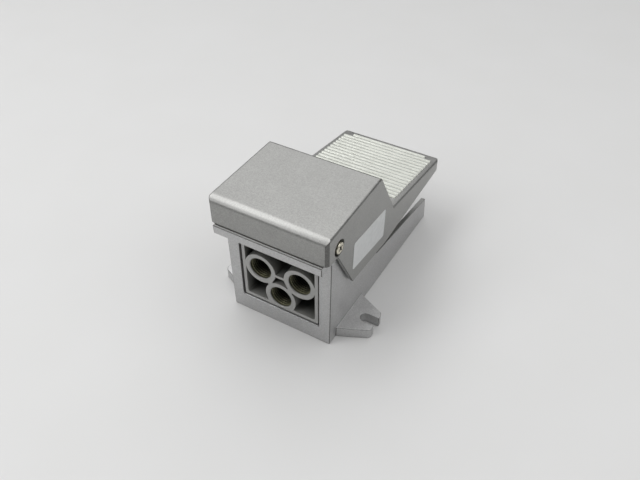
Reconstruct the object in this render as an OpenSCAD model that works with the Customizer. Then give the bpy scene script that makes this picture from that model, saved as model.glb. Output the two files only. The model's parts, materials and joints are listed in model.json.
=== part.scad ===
// Pneumatic foot valve: a die-cast base, a hinged pedal that is hood and tread in one casting,
// and a spool valve block set in the front of the base with its three ports facing forward.
// Lengths are in millimetres. In the modules y runs back from the base's front face and z up from the floor;
// the finished part is moved so that its origin is at the middle of its footprint.

/* [Base casting] */
// Width of the base at the floor
base_w = 60; // [58:0.5:66]
// Lean of the base's side walls, in degrees
base_draft = 0.7; // [0:0.1:1.5]
// Length of the base from front face to rail ends
base_len = 122.4; // [118:0.2:130]
// Thickness of the side walls and rails
base_wall = 2.5; // [2:0.1:3.2]
// Thickness of the floor
floor_t = 3.2; // [2.8:0.1:4]
// Thickness of the front frame
front_t = 5; // [4:0.5:6.5]
// Height of the sill under the valve block's opening
sill_h = 10.4; // [9.8:0.1:11.5]
// Width of the valve block's opening
opening_w = 47.2; // [46:0.2:50]
// Height from the opening to the top of the base
bar_h = 11.1; // [10.5:0.1:14]
// How far the stop ledge stands out in front
ledge_reach = 9.5; // [9:0.1:11]
// Thickness of the stop ledge
ledge_t = 5.5; // [5:0.25:6.5]
// Depth of the top bar behind the front face
bar_depth = 9.5; // [9:0.5:11]
// Height of the rails at the back
rail_h = 15.8; // [14.6:0.1:16.4]
// Fall of the rails towards the back, in degrees
rail_fall = 7.2; // [6.6:0.1:7.8]
// Forward lean of the rails' back ends
rail_lean = 2.6; // [0:0.1:4]
// Length of the tall cheeks along their top
cheek_len = 43; // [40:0.5:44]
// Length of the tall cheeks along the rails
cheek_foot = 50; // [47:0.5:52]
// Depth of the relief under the floor
relief_depth = 0.8; // [0.5:0.1:1.2]
// Width of the rim round the relief
relief_rim = 6; // [4:0.5:7]

/* [Mounting ears] */
// Thickness of the ears
ear_t = 6.5; // [5:0.25:8]
// How far the ears stand out from the base
ear_reach = 16.5; // [15.5:0.5:19]
// Middle of the ears, back from the front face
ear_y = 21.1; // [20:0.1:24]
// Length of an ear at the base
ear_root = 30; // [28:0.2:34]
// Length of an ear at its tip
ear_tip = 13.6; // [13:0.2:18]
// Width of the mounting slots
slot_w = 5.8; // [5:0.1:7]
// Distance between the round ends' centres of the two slots
slot_pitch = 80; // [78:0.5:83]

/* [Valve block] */
// Gap between the block and its opening
body_gap = 0.8; // [0.5:0.1:1]
// How far the block's face sits behind the base's front face
body_recess = 0.6; // [0.4:0.1:1.2]
// Length of the block
body_len = 45.2; // [43.5:0.2:46]
// Height of the block without its top cap
body_h = 40.2; // [39.6:0.2:43]
// Wall round the block's front pocket
tray_wall = 2; // [1.6:0.1:2.4]
// Depth of the front pocket
tray_depth = 13; // [12.5:0.1:14]
// Outer diameter of the port bosses
port_od = 18.6; // [17.5:0.1:19]
// Diameter of the tapped ports
port_bore = 11.8; // [11:0.1:12.5]
// Diameter of the chamfer at a port's mouth
port_mouth = 13.8; // [13.4:0.1:14.6]
// Height of the lower port above the block's underside
port_low_rise = 8; // [7.6:0.1:9]
// Height of the upper ports above the lower one
port_row_rise = 15; // [14.8:0.05:16]
// How far an upper port boss runs into the pocket's wall
port_lap = 0.3; // [0.1:0.02:0.4]
// Height of the bar that joins the upper port bosses
port_bar = 1.6; // [1.2:0.1:2]
// Width of the lower port boss where it stands on the pocket's wall
port_foot = 15.2; // [13:0.2:17]

/* [Spool] */
// Spool axis, back from the front face
spool_y = 27; // [26:0.1:28.5]
// Diameter of the spool bore
spool_bore = 12; // [11.4:0.1:12.6]
// Radial clearance of the spool's lands
land_gap = 0.1; // [0.05:0.01:0.15]
// Distance from one chamber of the bore to the next
chamber_pitch = 6.2; // [6:0.05:6.5]
// Height of a chamber
chamber_h = 2.2; // [1.8:0.1:2.4]
// Height of the middle chamber above the middle of the block
chamber_rise = 1.9; // [1.7:0.1:3]
// Diameter of the drilled passages
passage_d = 5; // [4:0.1:5.4]
// Distance of a sealing ring from the chamber that it seals
seal_offset = 2.15; // [2.1:0.05:2.4]
// Thickness of a sealing ring
seal_d = 1.8; // [1.6:0.05:2]
// Width of a sealed land
land_w = 3.4; // [3.2:0.1:3.8]
// Diameter of the spool between its lands
waist_d = 7.6; // [7.2:0.1:8]
// Diameter of the spool's stem
stem_d = 7; // [6.6:0.1:7.4]
// Diameter of the push button
button_d = 11; // [10:0.2:13]
// Height of the push button
button_h = 7.8; // [7:0.1:9]

/* [Caps] */
// Thickness of the caps' gaskets
gasket_t = 0.5; // [0.4:0.05:0.8]
// Thickness of the top cap
cap_t = 3.5; // [3.2:0.1:4.2]
// Width of the top cap
cap_w = 32; // [31:0.5:36]
// Depth of the top cap, front to back
cap_depth = 22; // [18:0.5:24]
// Distance between the top cap's screws
cap_screw_pitch = 23; // [22:0.5:24]
// Height of the stem seal
stem_seal_h = 2; // [1.6:0.1:2.2]
// Diameter of the bottom cap's flange
cup_flange_d = 26; // [25.5:0.5:27]
// Thickness of the bottom cap's flange
cup_flange_t = 2.6; // [2.2:0.1:2.8]
// Outer diameter of the spring cup under the flange
cup_d = 13.6; // [13.2:0.1:14]
// Distance between the bottom cap's screws
cup_screw_pitch = 20; // [19.5:0.5:20.5]
// Gap between the spring cup and the floor
cup_gap = 0.9; // [0.5:0.1:1.2]
// Wall of the spring cup
cup_wall = 1.2; // [1:0.1:1.4]

/* [Pedal casting] */
// Gap between the pedal's sides and the base
pedal_gap = 0.4; // [0.3:0.05:0.6]
// Thickness of the pedal's sides
pedal_wall = 1.9; // [1.7:0.1:2.6]
// How much each of the pedal's sides closes in towards the back, in degrees
pedal_turn = 0.45; // [0:0.05:0.5]
// Gap between the hood's front edge and the stop ledge
stop_gap = 0.3; // [0.2:0.05:0.5]
// How far the hood's front is set back from the ledge's front
hood_setback = 1; // [0.8:0.1:2]
// Height of the hood's top above the pivot, at the front
hood_rise = 10.8; // [10.6:0.1:13]
// Rise of the hood's top from front to back
hood_top_rise = 1; // [0:0.1:2]
// Back edge of the hood's top, behind the front face
hood_back = 45.1; // [44:0.1:47]
// Thickness of the hood's roof
roof_t = 2.6; // [2.2:0.1:3]
// Thickness of the hood's front and back walls
hood_wall = 2.5; // [2.2:0.1:3]
// Rounding of the hood's front edge
hood_nose_r = 5; // [3:0.5:6]
// Front of the tread, behind the front face
tread_y = 63.5; // [62:0.5:66]
// Height of the tread at its front
tread_z = 49.3; // [48:0.1:51]
// Fall of the tread towards the back, in degrees
tread_fall = 7.4; // [7:0.05:8]
// How far the tread reaches past the rails
tread_over = 8.2; // [7:0.1:12]
// Thickness of the tread plate
tread_t = 2.6; // [2.2:0.1:3]
// Depth of the pedal's side walls at the back of the tread
side_depth = 6.5; // [5.5:0.1:8]
// Depth of the lip along the back of the tread
lip_depth = 3.2; // [3:0.1:4]
// Lowest point of the pedal's side walls, behind the front face
side_low_y = 55; // [52:0.5:58]
// Height of that lowest point
side_low_z = 30.3; // [29:0.1:32]
// Front corner of the skirts, behind the front face
skirt_y = 17.5; // [16.5:0.1:19]
// Height of the skirts' front corner
skirt_z = 33.3; // [32:0.1:35]
// Where the skirts' front edge meets the hood, behind the front face
skirt_top_y = 0.8; // [0:0.1:1.4]
// Rounding of the pedal's upright front edges
pedal_front_r = 3; // [2:0.5:4]
// Rounding of the tread's back corners
pedal_back_r = 4.5; // [3:0.5:6]
// Rounding of the pedal's upper side edges
pedal_edge_r = 1.6; // [0.8:0.1:2]

/* [Tread ribs] */
// Number of grip ribs
rib_count = 16; // [14:1:16]
// Distance from one rib to the next
rib_pitch = 3.5; // [3:0.05:3.6]
// Width of a rib at its foot
rib_w = 2.3; // [1.8:0.1:2.6]
// Width of a rib along its top
rib_top = 1.7; // [1.2:0.1:1.8]
// Height of a rib
rib_h = 0.8; // [0.5:0.1:1.2]
// Plain margin at the ribs' ends
rib_margin = 2.9; // [2.4:0.1:5]
// How much shorter the last rib is at each end
rib_last_cut = 4.9; // [3:0.1:6]
// Plain margin behind the last rib
rib_back = 5.1; // [3.4:0.1:6]
// Depth of the stiffening webs under the tread
web_depth = 4.5; // [3:0.5:5]
// Thickness of the stiffening webs
web_t = 2; // [1.6:0.1:2.4]
// Distance between the stiffening webs
web_pitch = 30; // [28:0.5:36]

/* [Pivot] */
// Pivot axis, back from the front face
pivot_y = 2.2; // [2:0.1:3.2]
// Height of the pivot axis above the top of the base
pivot_rise = 5.2; // [4.8:0.1:5.6]
// Diameter of the pivot shaft
shaft_d = 8; // [7.6:0.1:8.4]
// Running clearance round the shaft
shaft_gap = 0.04; // [0.02:0.01:0.08]
// Wall of the bushes
bush_wall = 1.5; // [1.2:0.1:1.8]
// Thickness of the bushes' flanges
bush_flange = 0.8; // [0.6:0.1:1]
// Radius of the lugs round the bushes
lug_r = 7; // [6.6:0.1:7.4]
// Thickness of the lugs
lug_t = 6.5; // [5.5:0.5:8]
// Depth of the bosses round the pivot screws
pivot_boss = 2.6; // [2.2:0.1:3]
// Diameter of the bosses round the pivot screws
pivot_boss_d = 9.3; // [8.9:0.1:9.3]
// Clearance between the bosses and what they turn against
boss_gap = 0.3; // [0.2:0.05:0.5]
// Diameter of the pivot screws' heads
pivot_head_d = 6.6; // [6:0.1:8]
// Height of the pivot screws' heads
pivot_head_h = 2.2; // [1.3:0.1:2.4]
// Diameter of the recess round a pivot screw's head
pivot_recess_d = 8.7; // [8.3:0.1:8.7]
// Depth of that recess
pivot_recess = 2.2; // [2:0.1:2.4]
// Length of the pivot screws' shanks
pivot_shank = 14; // [10:0.5:18]
// Thickness of the pivot washers
pivot_washer_t = 0.5; // [0.4:0.05:0.6]
// Angle from released to fully pressed, in degrees
press_angle = 10; // [8:0.5:10]

/* [Press screw] */
// Diameter of the press screw
press_d = 6; // [5.6:0.1:6.4]
// Gap between the press screw's tip and the button
press_gap = 0.2; // [0.1:0.05:0.3]
// How far the tip stands below the lock nut
press_tip = 1.8; // [1.4:0.1:2.2]
// Height of the lock nut
nut_h = 3.6; // [3:0.1:4]
// Lock nut across its flats
nut_af = 10; // [9.5:0.1:11]
// Diameter of the boss over the lock nut
press_boss_d = 13; // [12:0.5:15]

/* [Springs and stop] */
// Return spring axis, behind the front face
spring_y = 85; // [82:0.5:87]
// Outer diameter of the return spring
spring_od = 16; // [15:0.5:17]
// Wire of the return spring
spring_wire = 1.8; // [1.5:0.1:2]
// Turns of the return spring
spring_turns = 9; // [7:1:10]
// Depth of the flat seat under the tread, below the tread plate
seat_drop = 3.4; // [3:0.2:5]
// Height of the pegs that hold the return spring's ends
peg_h = 4; // [3:0.5:5]
// Outer diameter of the spool spring
spool_spring_od = 9.4; // [9:0.1:9.6]
// Wire of the spool spring
spool_spring_wire = 1; // [0.8:0.05:1.1]
// Turns of the spool spring
spool_spring_turns = 5; // [4:1:5]
// Gap left at the springs' ends
spring_seat_gap = 0.05; // [0.02:0.01:0.1]
// Rubber stop, behind the front face
stop_y = 105; // [103:0.5:107]
// Diameter of the rubber stop
stop_d = 10; // [9:0.5:12]
// Height of the post under the rubber stop
stop_post = 9; // [7:0.5:10]
// Diameter of the post under the rubber stop
stop_post_d = 13; // [12.5:0.5:15]
// Room between the pressed tread and the rubber stop
stop_clear = 0.9; // [0.8:0.1:1.5]

/* [Screws] */
// Diameter of the screws that hold the block
body_screw_d = 4; // [3.5:0.1:4.4]
// Diameter of their heads
body_head_d = 7; // [6.6:0.1:7.4]
// Height of their heads
body_head_h = 2.6; // [2.2:0.1:2.8]
// How far their heads lie above the floor's underside
body_head_sink = 1.2; // [1:0.1:1.6]
// How far they reach into the block
body_screw_grip = 9; // [7:0.5:10]
// Distance between them across the block
body_screw_x = 34; // [33.5:0.5:36]
// First row of them, behind the front face
body_screw_y1 = 19.5; // [19:0.5:21]
// Second row of them, behind the front face
body_screw_y2 = 40; // [38.5:0.5:41]
// Diameter of the bosses under the block
body_boss_d = 11; // [10:0.5:11.5]
// Diameter of the caps' screws
cap_screw_d = 3; // [2.6:0.1:3.2]
// Diameter of the caps' screw heads
cap_head_d = 5.4; // [5:0.1:5.6]
// Height of the caps' screw heads
cap_head_h = 1.7; // [1.4:0.1:1.9]
// How far the caps' screws reach into the block
cap_screw_grip = 7; // [5:0.5:8]
// Clearance round a screw's shank
screw_gap = 0.1; // [0.05:0.05:0.2]
// Diameter of the exhaust silencers' threads
silencer_d = 7; // [6.4:0.2:8]
// Length of those threads
silencer_grip = 5.5; // [4:0.5:6]
// Diameter of the silencers' collars
silencer_collar_d = 9; // [8.6:0.2:10]
// Thickness of the silencers' collars
silencer_collar_t = 1.5; // [1.2:0.1:2]
// Length of the silencers' rounded ends
silencer_nose = 2.6; // [2:0.2:2.8]

/* [Hidden] */
$fn = 48;

// Overshoot of a cut past the face that it opens
over = 1;
// Half-width that is past everything
far = base_w + base_len;
// Clearance of pieces that touch
slip = 0.02;

// Heights of the base, from the sill up
body_z = sill_h + body_gap;
body_top = body_z + body_h;
opening_top = body_top + body_gap;
top_h = opening_top + bar_h;
pivot_z = top_h + pivot_rise;
lean = tan(base_draft);
rail_end = base_len - rail_lean;
rail_foot_z = rail_h + (rail_end - cheek_foot) * tan(rail_fall);
wall_in = base_w / 2 - base_wall;
tip_x = base_w / 2 + ear_reach;

// Valve block
body_w = opening_w - 2 * body_gap;
body_y1 = body_recess + body_len;
tray_y = body_recess + tray_depth;
port_x = body_w / 2 - tray_wall + port_lap - port_od / 2;
port_low_z = body_z + port_low_rise;
port_high_z = port_low_z + port_row_rise;
mouth_depth = (port_mouth - port_bore) / 2;
// Where the lower boss begins to widen into its foot
foot_x = port_od * 0.45;
foot_z = port_low_z - port_od * 0.22;
bore_r = spool_bore / 2;
// Chambers from the bottom up: exhaust, outlet, supply, outlet, exhaust
chamber = [for (i = [-2:2]) body_z + body_h / 2 + chamber_rise + i * chamber_pitch];
chamber_depth = 1.6;
chamber_r = bore_r + chamber_depth;

// Spool and its stem
land_r = bore_r - land_gap;
seal_r = bore_r - slip - seal_d / 2;
seal_z = [chamber[0] - seal_offset, chamber[1] + seal_offset, chamber[3] + seal_offset];
spool_low = seal_z[0] - land_w / 2;
nose_gap = 0.3;
nose_r = spool_spring_od / 2 - spool_spring_wire - nose_gap;
nose_h = 1.6;
press_arm = spool_y - pivot_y;
stroke = press_arm * sin(press_angle);
cap_top = body_top + gasket_t + cap_t;
// Room between the pressed button and the top cap
button_clear = 0.6;
button_low = cap_top + stroke + button_clear;
button_top = button_low + button_h;
// Depth of the stem in the button
stem_grip = 5.6;
stem_top = button_low + stem_grip;
stem_gap = 3 * slip;
groove_gap = 2 * slip;

// Caps
gasket_bore = spool_bore + 6 * screw_gap;
stem_seal_w = 2;
seal_pocket_r = stem_d / 2 + stem_seal_w;
cup_low = floor_t + cup_gap;
cup_bore_r = cup_d / 2 - cup_wall;
flange_low = body_z - gasket_t - cup_flange_t;
spool_spring_low = cup_low + cup_wall + spring_seat_gap;
spool_spring_top = spool_low - spring_seat_gap;

// Half-width of the pedal at a distance y behind the front face
function pedal_x(y) = base_w / 2 + top_h * lean + pedal_gap + pedal_wall + (hood_back - y) * tan(pedal_turn);

// Pedal outline as (y, z, corner radius): hood, back slope, tread and the lower edge of the sides
hood_y = -ledge_reach + hood_setback;
hood_low = top_h + stop_gap;
hood_front_z = pivot_z + hood_rise;
hood_back_z = hood_front_z + hood_top_rise;
// Angle at which the rounded side edges meet the pedal's top
edge_blend = 2;
tread_end = base_len + tread_over;
tread_end_z = tread_z - (tread_end - tread_y) * tan(tread_fall);
pedal_outline = [
  [hood_y, hood_low, 0.6],
  [hood_y, hood_front_z, hood_nose_r],
  [hood_back, hood_back_z, 2],
  [tread_y, tread_z, 1],
  [tread_end, tread_end_z, 2],
  [tread_end, tread_end_z - side_depth, 1],
  [side_low_y, side_low_z, 20],
  [skirt_y, skirt_z, 1],
  [skirt_top_y, hood_low, 2]];
function edge(i) = [flat(pedal_outline[i]), flat(pedal_outline[i + 1])];
front_in = moved(edge(0), hood_wall);
roof_in = moved(edge(1), roof_t);
back_in = moved(edge(2), hood_wall);
tread_in = moved(edge(3), tread_t);
end_in = moved(edge(4), hood_wall);
pedal_hollow = [
  [front_in[0].x, 0, 0],
  concat(meet(front_in, roof_in), 2),
  concat(meet(roof_in, back_in), 1),
  concat(meet(back_in, tread_in), 1),
  concat(meet(tread_in, end_in), 1),
  [end_in[0].x, tread_end_z - lip_depth, 0],
  [tread_end + over, tread_end_z - lip_depth, 0],
  [tread_end + over, 0, 0]];

// Pivot, from the middle outwards
boss_x = pedal_x(pivot_y) - pedal_wall - pivot_boss;
lug_out = boss_x - boss_gap - bush_flange;
lug_in = lug_out - lug_t;
bush_r = shaft_d / 2 + shaft_gap + bush_wall;
bush_rim = 1;
shaft_end = boss_x - slip;
recess_x = pedal_x(pivot_y) - pivot_recess;
shank_r = 2;

// Press screw
tip_z = button_top + press_gap;
nut_low = tip_z + press_tip;
boss_low = nut_low + nut_h;
press_grip = 3;
press_top = boss_low + press_grip;

// Return spring seat and rubber stop
spring_in = spring_od / 2 - spring_wire;
peg_gap = 0.6;
peg_r = spring_in - peg_gap;
seat_rim = 1.2;
seat_r = spring_od / 2 + seat_rim;
function tread_under(y) = tread_in[0].y + (y - tread_in[0].x) * (tread_in[1].y - tread_in[0].y)
  / (tread_in[1].x - tread_in[0].x);
seat_z = tread_under(spring_y) - seat_drop;
pressed_under = [for (p = tread_in) pressed(p)];
stop_slope = (pressed_under[1].y - pressed_under[0].y) / (pressed_under[1].x - pressed_under[0].x);
stop_plane = pressed_under[0].y + (stop_y - pressed_under[0].x) * stop_slope;
stop_low = floor_t + stop_post;
stop_top = stop_plane - stop_clear;
stop_stem_r = 2.4;

// Length and width of a cross recess, as shares of the screw's head
cross_len = 0.6;
cross_w = 0.14;

// Middle of the footprint, front to back
mid_y = (tread_end - ledge_reach) / 2;

// A point without its rounding
function flat(p) = [p.x, p.y];
function unit(v) = v / norm(v);
// A line moved to its right by d
function moved(l, d) = let (u = unit(l[1] - l[0])) [for (p = l) p + d * [u.y, -u.x]];
// Where two lines cross
function meet(a, b) = let (u = a[1] - a[0], v = b[1] - b[0], w = b[0] - a[0])
  a[0] + u * cross(w, v) / cross(u, v);
// A side-view point of the pedal when it is fully pressed
function pressed(p) = let (d = p - [pivot_y, pivot_z], c = cos(press_angle), s = sin(press_angle))
  [pivot_y, pivot_z] + [d.x * c + d.y * s, d.y * c - d.x * s];
// The arc of radius r that rounds the corner b between a and c
function corner(a, b, c, r, n = 8) = r == 0 ? [b] : let (
  u = unit(a - b), v = unit(c - b), half = acos(u * v) / 2,
  m = b + unit(u + v) * r / sin(half), s = b + u * r / tan(half) - m, e = b + v * r / tan(half) - m,
  from = atan2(s.y, s.x), turn = (atan2(e.y, e.x) - from + 540) % 360 - 180)
  [for (i = [0:n]) m + r * [cos(from + turn * i / n), sin(from + turn * i / n)]];
// An outline of [x, y, radius] corners with its corners rounded
function rounded(c) = let (n = len(c)) [for (i = [0:n - 1])
  each corner(flat(c[(i + n - 1) % n]), flat(c[i]), flat(c[(i + 1) % n]), c[i].z)];

// A side view outline, given as (y, z), drawn across the part to the width w
module side(w) rotate([90, 0, 90]) linear_extrude(w, center = true) children();
// A front view outline, given as (x, z), drawn from y0 back to y1
module front(y0, y1) translate([0, y1, 0]) rotate([90, 0, 0]) linear_extrude(y1 - y0) children();
// The same thing on the left and on the right
module both() for (m = [0, 1]) mirror([m, 0, 0]) children();
// From the working origin to the part's own
module placed() translate([0, -mid_y, 0]) children();
// A rod along x, from x0 to x1
module rod_x(r, x0, x1) translate([x0, 0, 0]) rotate([0, 90, 0]) cylinder(r = r, h = x1 - x0);
// A rod along y, from y0 to y1
module rod_y(r, y0, y1) translate([0, y0, 0]) rotate([-90, 0, 0]) cylinder(r = r, h = y1 - y0);
// A drilled passage from p to q
module passage(p, q) let (d = q - p) translate(p)
  rotate([0, acos(d.z / norm(d)), atan2(d.y, d.x)]) cylinder(d = passage_d, h = norm(d));
// A ring of round section in the plane z = 0
module ring(r, d) rotate_extrude() translate([r, 0]) circle(d = d);
// The four places of the screws that hold the block
module at_body_screws() for (x = [-1, 1], y = [body_screw_y1, body_screw_y2])
  translate([x * body_screw_x / 2, y, 0]) children();
// Two places at each side of the spool's axis
module beside_spool(pitch) for (x = [-1, 1]) translate([x * pitch / 2, spool_y, 0]) children();

// A coil spring on the z axis: its end turns lie close, and it is swept in one piece
module coil(od, wire, h, turns, sides = 8, steps = 20) {
  r = (od - wire) / 2;
  n = turns * steps;
  // Height of the wire's centre at turn t: one close turn at each end, an even pitch between
  pitch = (h - 3 * wire) / (turns - 2);
  function rise(t) = wire / 2 + (t < 1 ? t * wire
    : t > turns - 1 ? h - 2 * wire + (t - turns + 1) * wire
    : wire + (t - 1) * pitch);
  points = [for (i = [0:n]) let (a = 360 * i / steps) for (k = [0:sides - 1])
    let (b = 360 * k / sides, q = r + wire / 2 * cos(b))
    [q * cos(a), q * sin(a), rise(i / steps) + wire / 2 * sin(b)]];
  skin = [for (i = [0:n - 1], k = [0:sides - 1]) let (a = i * sides, k2 = (k + 1) % sides)
    [a + k, a + k2, a + sides + k2, a + sides + k]];
  first = [for (k = [sides - 1:-1:0]) k];
  last = [for (k = [0:sides - 1]) n * sides + k];
  polyhedron(points, concat(skin, [first, last]));
}

// The base's cross-section, d inside its outer faces and starting at height z
module base_section(d, z) {
  x = base_w / 2 - d;
  h = top_h + 2 * over;
  polygon([[-x - z * lean, z], [x + z * lean, z], [x + h * lean, h], [-x - h * lean, h]]);
}

module ear() translate([base_w / 2, ear_y, 0]) difference() {
  linear_extrude(ear_t) polygon(rounded([
    [-base_wall / 2, -ear_root / 2, 0], [ear_reach, -ear_tip / 2, 3],
    [ear_reach, ear_tip / 2, 3], [-base_wall / 2, ear_root / 2, 0]]));
  translate([slot_pitch / 2 - base_w / 2, 0, -over]) linear_extrude(ear_t + 2 * over) {
    circle(d = slot_w);
    translate([0, -slot_w / 2]) square([ear_reach, slot_w]);
  }
}

module lug() translate([(lug_in + lug_out) / 2, pivot_y, 0]) side(lug_t) {
  translate([0, pivot_z]) circle(r = lug_r);
  translate([-lug_r, top_h - over]) square([2 * lug_r, pivot_rise + over]);
}

module base() color("#9b9b99") placed() difference() {
  union() {
    difference() {
      intersection() {
        side(far) polygon(rounded([
          [0, 0, 0], [base_len, 0, 0], [rail_end, rail_h, 1], [cheek_foot, rail_foot_z, 4], [cheek_len, top_h, 3],
          [-ledge_reach, top_h, 0.8], [-ledge_reach, top_h - ledge_t, 0.8], [0, top_h - ledge_t, 0.5]]));
        front(-ledge_reach - over, base_len + over) base_section(0, 0);
      }
      intersection() {
        side(far) polygon([
          [front_t, floor_t], [base_len + over, floor_t], [base_len + over, top_h + over],
          [bar_depth, top_h + over], [bar_depth, top_h - ledge_t], [front_t, top_h - ledge_t]]);
        front(0, base_len + 2 * over) base_section(base_wall, floor_t - over);
      }
      front(-over, front_t + over) polygon(rounded([for (p = [[-1, 0], [1, 0], [1, 1], [-1, 1]])
        [p.x * opening_w / 2, p.y == 0 ? sill_h : opening_top, 1]]));
      translate([-base_w / 2 + relief_rim, relief_rim, -over])
        cube([base_w - 2 * relief_rim, base_len - 2 * relief_rim, relief_depth + over]);
    }
    both() ear();
    both() lug();
    at_body_screws() cylinder(d = body_boss_d, h = body_z);
    translate([0, spring_y, floor_t - over]) cylinder(r = peg_r, h = peg_h + over);
    translate([0, stop_y, floor_t - over]) cylinder(d = stop_post_d, h = stop_post + over);
  }
  at_body_screws() {
    translate([0, 0, -over]) cylinder(d = body_screw_d + 4 * screw_gap, h = body_z + 2 * over);
    translate([0, 0, -over]) cylinder(d = body_head_d + 6 * screw_gap, h = body_head_sink + body_head_h + over);
  }
  translate([0, stop_y, floor_t]) cylinder(r = stop_stem_r, h = stop_post + over);
  both() translate([0, pivot_y, pivot_z]) {
    rod_x(bush_r, lug_in - over, far);
    rod_x(bush_r + bush_rim + boss_gap, lug_out, far);
  }
}

// The block's outline as seen from the front, d inside its outer faces, with corners of radius r
module body_outline(d, r) polygon(rounded([for (p = [[-1, 0], [1, 0], [1, 1], [-1, 1]])
  [p.x * (body_w / 2 - d), p.y == 0 ? body_z + d : body_top - d, r]]));

// The port bosses' outline as seen from the front
module port_bosses() {
  for (x = [-1, 1]) translate([x * port_x, port_high_z]) circle(d = port_od);
  translate([0, port_low_z]) circle(d = port_od);
  translate([-port_x, port_high_z - port_bar]) square([2 * port_x, port_bar]);
  polygon([[-port_foot / 2, body_z], [port_foot / 2, body_z],
    [foot_x, foot_z], [-foot_x, foot_z]]);
}

// A tapped port with its chamfered mouth, opening to the front
module port() translate([0, body_recess, 0]) {
  rod_y(port_bore / 2, -over, tray_depth);
  translate([0, -over, 0]) rotate([-90, 0, 0])
    cylinder(d1 = port_mouth + 2 * over, d2 = port_bore, h = mouth_depth + over);
}

module valve_body() color("#a5a5a2") placed() difference() {
  union() {
    difference() {
      front(body_recess, body_y1) body_outline(0, 1);
      front(body_recess - over, tray_y) body_outline(tray_wall, 1.5);
    }
    front(body_recess, tray_y + over) intersection() {
      port_bosses();
      body_outline(tray_wall / 2, 0);
    }
  }
  for (p = [[-port_x, port_high_z], [port_x, port_high_z], [0, port_low_z]]) translate([p.x, 0, p.y]) port();
  translate([0, spool_y, body_z - over]) cylinder(r = bore_r, h = body_h + 2 * over);
  for (z = chamber) translate([0, spool_y, z - chamber_h / 2]) cylinder(r = chamber_r, h = chamber_h);
  passage([-port_x, tray_y - over, port_high_z], [0, spool_y, chamber[3]]);
  passage([port_x, tray_y - over, port_high_z], [0, spool_y, chamber[1]]);
  passage([0, tray_y - over, port_low_z], [0, spool_y, chamber[2]]);
  for (z = [chamber[0], chamber[4]]) translate([0, 0, z]) {
    rod_y(passage_d / 2, spool_y, body_y1);
    rod_y(silencer_d / 2 + slip, body_y1 - silencer_grip - over / 2, body_y1 + over);
  }
  at_body_screws() translate([0, 0, body_z - over])
    cylinder(d = body_screw_d + screw_gap, h = body_screw_grip + 2 * over);
  beside_spool(cap_screw_pitch) translate([0, 0, body_top - cap_screw_grip - over])
    cylinder(d = cap_screw_d + screw_gap, h = cap_screw_grip + 2 * over);
  beside_spool(cup_screw_pitch) translate([0, 0, body_z - over])
    cylinder(d = cap_screw_d + screw_gap, h = cap_screw_grip + 2 * over);
}

// The top cap's outline as seen from above
module cap_outline() translate([0, spool_y]) polygon(rounded([for (p = [[-1, -1], [1, -1], [1, 1], [-1, 1]])
  [p.x * cap_w / 2, p.y * cap_depth / 2, 3]]));

module top_cap() color("#8d8f90") placed() difference() {
  translate([0, 0, body_top + gasket_t]) linear_extrude(cap_t) cap_outline();
  translate([0, spool_y, body_top]) {
    cylinder(r = stem_d / 2 + stem_gap, h = cap_top);
    cylinder(r = seal_pocket_r, h = gasket_t + stem_seal_h + screw_gap);
  }
  beside_spool(cap_screw_pitch) {
    translate([0, 0, body_top]) cylinder(d = cap_screw_d + 2 * screw_gap, h = cap_top);
    translate([0, 0, cap_top - cap_head_h]) cylinder(d = cap_head_d + 4 * screw_gap, h = cap_top);
  }
}

module top_cap_gasket() color("#2b2b2b") placed() difference() {
  translate([0, 0, body_top]) linear_extrude(gasket_t) cap_outline();
  translate([0, spool_y, body_top - over]) cylinder(d = gasket_bore, h = gasket_t + 2 * over);
  beside_spool(cap_screw_pitch) translate([0, 0, body_top - over])
    cylinder(d = cap_screw_d + 2 * screw_gap, h = gasket_t + 2 * over);
}

module stem_seal() color("#1d1d1d") placed() translate([0, spool_y, body_top + gasket_t])
  rotate_extrude() difference() {
    translate([stem_d / 2 + stem_gap / 2, 0]) square([seal_pocket_r - stem_d / 2 - stem_gap, stem_seal_h]);
    translate([(seal_pocket_r + stem_d / 2) / 2, 0]) circle(d = stem_seal_h / 2);
  }

// A cheese-head screw that points down, with its head's underside at z = 0 and a cross recess
module cross_screw(d, head_d, head_h, length) difference() {
  union() {
    cylinder(d = head_d, h = head_h);
    translate([0, 0, -length]) cylinder(d = d, h = length + head_h / 2);
  }
  for (a = [0, 90]) rotate(a) translate([-head_d * cross_len / 2, -head_d * cross_w / 2, head_h / 2])
    cube([head_d * cross_len, head_d * cross_w, head_h]);
}

module top_cap_screws() color("#b9b6a8") placed() beside_spool(cap_screw_pitch)
  translate([0, 0, cap_top - cap_head_h])
  cross_screw(cap_screw_d, cap_head_d, cap_head_h - screw_gap, cap_t - cap_head_h + gasket_t + cap_screw_grip);

module bottom_cap() color("#8d8f90") placed() difference() {
  translate([0, spool_y, 0]) {
    translate([0, 0, flange_low]) cylinder(d = cup_flange_d, h = cup_flange_t);
    translate([0, 0, cup_low]) cylinder(d = cup_d, h = body_z - gasket_t - cup_low);
  }
  translate([0, spool_y, cup_low + cup_wall]) cylinder(r = cup_bore_r, h = body_z);
  beside_spool(cup_screw_pitch) translate([0, 0, flange_low - over])
    cylinder(d = cap_screw_d + 2 * screw_gap, h = cup_flange_t + 2 * over);
}

module bottom_cap_gasket() color("#2b2b2b") placed() difference() {
  translate([0, spool_y, body_z - gasket_t]) cylinder(d = cup_flange_d, h = gasket_t);
  translate([0, spool_y, body_z - over]) cylinder(d = gasket_bore, h = 2 * over);
  beside_spool(cup_screw_pitch) translate([0, 0, body_z - over])
    cylinder(d = cap_screw_d + 2 * screw_gap, h = 2 * over);
}

module bottom_cap_screws() color("#b9b6a8") placed() beside_spool(cup_screw_pitch)
  translate([0, 0, flange_low]) mirror([0, 0, 1])
  cross_screw(cap_screw_d, cap_head_d, cap_head_h, cup_flange_t + gasket_t + cap_screw_grip);

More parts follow.
